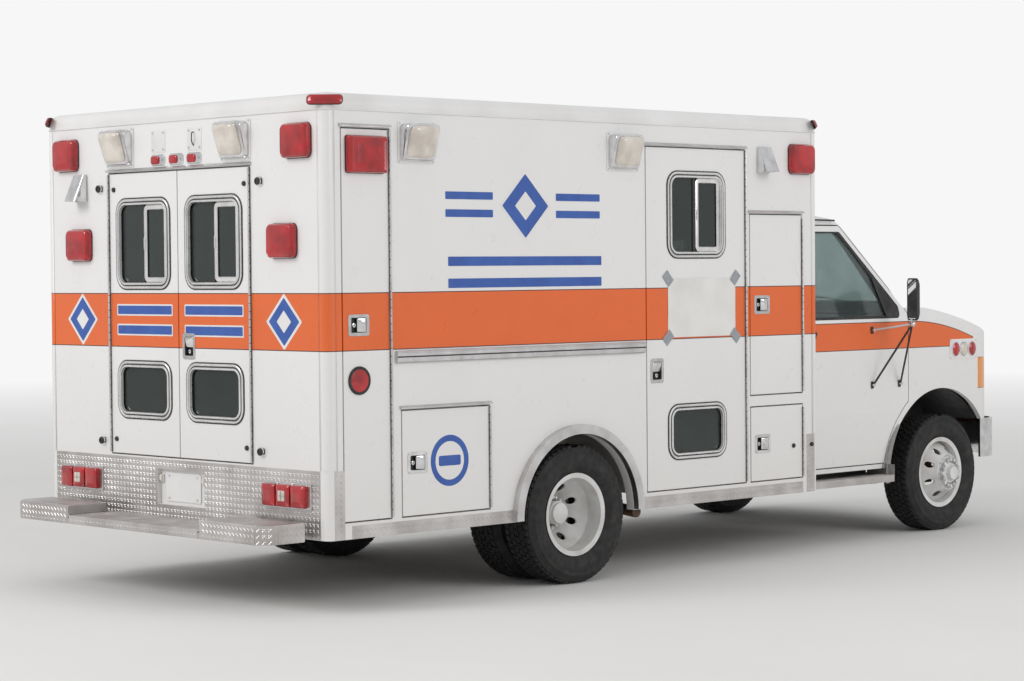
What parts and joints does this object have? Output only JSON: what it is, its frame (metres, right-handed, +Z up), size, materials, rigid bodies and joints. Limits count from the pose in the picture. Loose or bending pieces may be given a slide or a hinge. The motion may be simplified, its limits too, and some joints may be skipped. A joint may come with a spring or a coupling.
{
  "type": "ambulance",
  "caption": "Van-based ambulance with a box module behind a cutaway cab, hinged doors and hatches, steered front wheels and twin rear wheels.",
  "frame": {"origin": "on the ground below the middle of the vehicle's box", "axes": "-Y towards the front bumper, -X towards the curb side, +Z up"},
  "size_m": [2.6402, 6.2698, 2.548],
  "materials": {
    "body": "gloss",
    "orange": "gloss",
    "frame": "satin",
    "wheel": "gloss",
    "tyre": "matte",
    "chrome": "polished",
    "aluminium": "bright",
    "glass": "tinted",
    "trim": "matte",
    "lamp": "gloss",
    "clear": "clear",
    "interior": "matte",
    "vinyl": "satin",
    "floor": "satin",
    "iron": "matte"
  },
  "bodies": {
    "vehicle": {"frame_rails": "frame", "crossmembers": "frame", "front_axle": "iron", "rear_axle": "iron", "driveline": "iron", "fuel_tank": "frame", "module_floor": "floor", "module_roof": "body", "module_wall_curb": "body", "module_wall_street": "body", "module_wall_rear": "body", "module_wall_front": "body", "cabinets_curb": "aluminium", "cabinets_street": "aluminium", "bench": "vinyl", "attendant_seat": "vinyl", "rear_step": "aluminium", "body_trim": "trim", "module_lamps": "lamp", "cab_shell": "body", "front_clip": "body", "windshield": "glass", "front_bumper": "chrome", "grille": "trim", "dashboard": "interior", "cab_seats": "vinyl", "running_boards": "aluminium", "cab_floor": "interior", "wheel_liners": "trim", "headlamps": "clear"},
    "cab_door_curb": {"cab_door_curb": "body", "cab_glass_curb": "glass", "mirror_curb": "trim"},
    "rear_door_curb": {"rear_door_curb": "body", "rear_glass_curb": "glass"},
    "knuckle_curb": {"knuckle_curb": "iron"},
    "front_wheel_curb": {"front_rim_curb": "wheel", "front_tyre_curb": "tyre"},
    "rear_wheels_curb": {"rear_rims_curb": "wheel", "rear_tyres_curb": "tyre"},
    "cab_door_street": {"cab_door_street": "body", "cab_glass_street": "glass", "mirror_street": "trim"},
    "rear_door_street": {"rear_door_street": "body", "rear_glass_street": "glass"},
    "knuckle_street": {"knuckle_street": "iron"},
    "front_wheel_street": {"front_rim_street": "wheel", "front_tyre_street": "tyre"},
    "rear_wheels_street": {"rear_rims_street": "wheel", "rear_tyres_street": "tyre"},
    "entry_door": {"entry_door": "body", "entry_glass": "glass"},
    "hatch_curb_rear": {"hatch_curb_rear": "body"},
    "hatch_curb_low": {"hatch_curb_low": "body"},
    "hatch_curb_front_upper": {"hatch_curb_front_upper": "body"},
    "hatch_curb_front_lower": {"hatch_curb_front_lower": "body"},
    "hatch_street_rear": {"hatch_street_rear": "body"},
    "hatch_street_mid": {"hatch_street_mid": "body"},
    "hatch_street_front": {"hatch_street_front": "body"},
    "hood": {"hood": "body"}
  },
  "joints": [
    {"name": "steer_curb", "type": "hinge", "parent": "vehicle", "child": "knuckle_curb", "pos_m": [-0.8, -2.408, 0.368], "axis": [0, 0, 1], "range_deg": [-30, 30]},
    {"name": "front_spin_curb", "type": "hinge", "parent": "knuckle_curb", "child": "front_wheel_curb", "pos_m": [-0.8815, -2.408, 0.368], "axis": [1, 0, 0], "continuous": true},
    {"name": "rear_spin_curb", "type": "hinge", "parent": "vehicle", "child": "rear_wheels_curb", "pos_m": [-0.961, 1.097, 0.368], "axis": [1, 0, 0], "continuous": true},
    {"name": "cab_door_swing_curb", "type": "hinge", "parent": "vehicle", "child": "cab_door_curb", "pos_m": [-1.015, -2.0295, 0.9], "axis": [0, 0, 1], "range_deg": [0, 65]},
    {"name": "rear_door_swing_curb", "type": "hinge", "parent": "vehicle", "child": "rear_door_curb", "pos_m": [-0.61, 2.827, 1.46], "axis": [0, 0, 1], "range_deg": [0, 160]},
    {"name": "steer_street", "type": "hinge", "parent": "vehicle", "child": "knuckle_street", "pos_m": [0.8, -2.408, 0.368], "axis": [0, 0, 1], "range_deg": [-30, 30]},
    {"name": "front_spin_street", "type": "hinge", "parent": "knuckle_street", "child": "front_wheel_street", "pos_m": [0.8815, -2.408, 0.368], "axis": [1, 0, 0], "continuous": true},
    {"name": "rear_spin_street", "type": "hinge", "parent": "vehicle", "child": "rear_wheels_street", "pos_m": [0.961, 1.097, 0.368], "axis": [1, 0, 0], "continuous": true},
    {"name": "cab_door_swing_street", "type": "hinge", "parent": "vehicle", "child": "cab_door_street", "pos_m": [1.015, -2.0295, 0.9], "axis": [0, 0, -1], "range_deg": [0, 65]},
    {"name": "rear_door_swing_street", "type": "hinge", "parent": "vehicle", "child": "rear_door_street", "pos_m": [0.61, 2.827, 1.46], "axis": [0, 0, -1], "range_deg": [0, 160]},
    {"name": "hatch_curb_rear_swing", "type": "hinge", "parent": "vehicle", "child": "hatch_curb_rear", "pos_m": [-1.21, 2.409, 0.7], "axis": [0, 0, 1], "range_deg": [0, 100]},
    {"name": "hatch_curb_low_swing", "type": "hinge", "parent": "vehicle", "child": "hatch_curb_low", "pos_m": [-1.21, 1.74, 0.7], "axis": [0, 0, 1], "range_deg": [0, 100]},
    {"name": "entry_door_swing", "type": "hinge", "parent": "vehicle", "child": "entry_door", "pos_m": [-1.21, -0.267, 0.7], "axis": [0, 0, 1], "range_deg": [0, 100]},
    {"name": "hatch_curb_front_upper_swing", "type": "hinge", "parent": "vehicle", "child": "hatch_curb_front_upper", "pos_m": [-1.21, -0.767, 0.7], "axis": [0, 0, 1], "range_deg": [0, 100]},
    {"name": "hatch_curb_front_lower_swing", "type": "hinge", "parent": "vehicle", "child": "hatch_curb_front_lower", "pos_m": [-1.21, -0.767, 0.7], "axis": [0, 0, 1], "range_deg": [0, 100]},
    {"name": "hatch_street_rear_swing", "type": "hinge", "parent": "vehicle", "child": "hatch_street_rear", "pos_m": [1.21, 1.74, 0.7], "axis": [0, 0, -1], "range_deg": [0, 100]},
    {"name": "hatch_street_mid_swing", "type": "hinge", "parent": "vehicle", "child": "hatch_street_mid", "pos_m": [1.21, -0.152, 0.7], "axis": [0, 0, -1], "range_deg": [0, 100]},
    {"name": "hatch_street_front_swing", "type": "hinge", "parent": "vehicle", "child": "hatch_street_front", "pos_m": [1.21, -0.767, 0.7], "axis": [0, 0, -1], "range_deg": [0, 100]},
    {"name": "hood_swing", "type": "hinge", "parent": "vehicle", "child": "hood", "pos_m": [0, -2.2475, 1.42], "axis": [-1, 0, 0], "range_deg": [0, 50]}
  ],
  "couplings": [
    {"joint": "steer_street", "follows": "steer_curb", "ratio": 1}
  ]
}
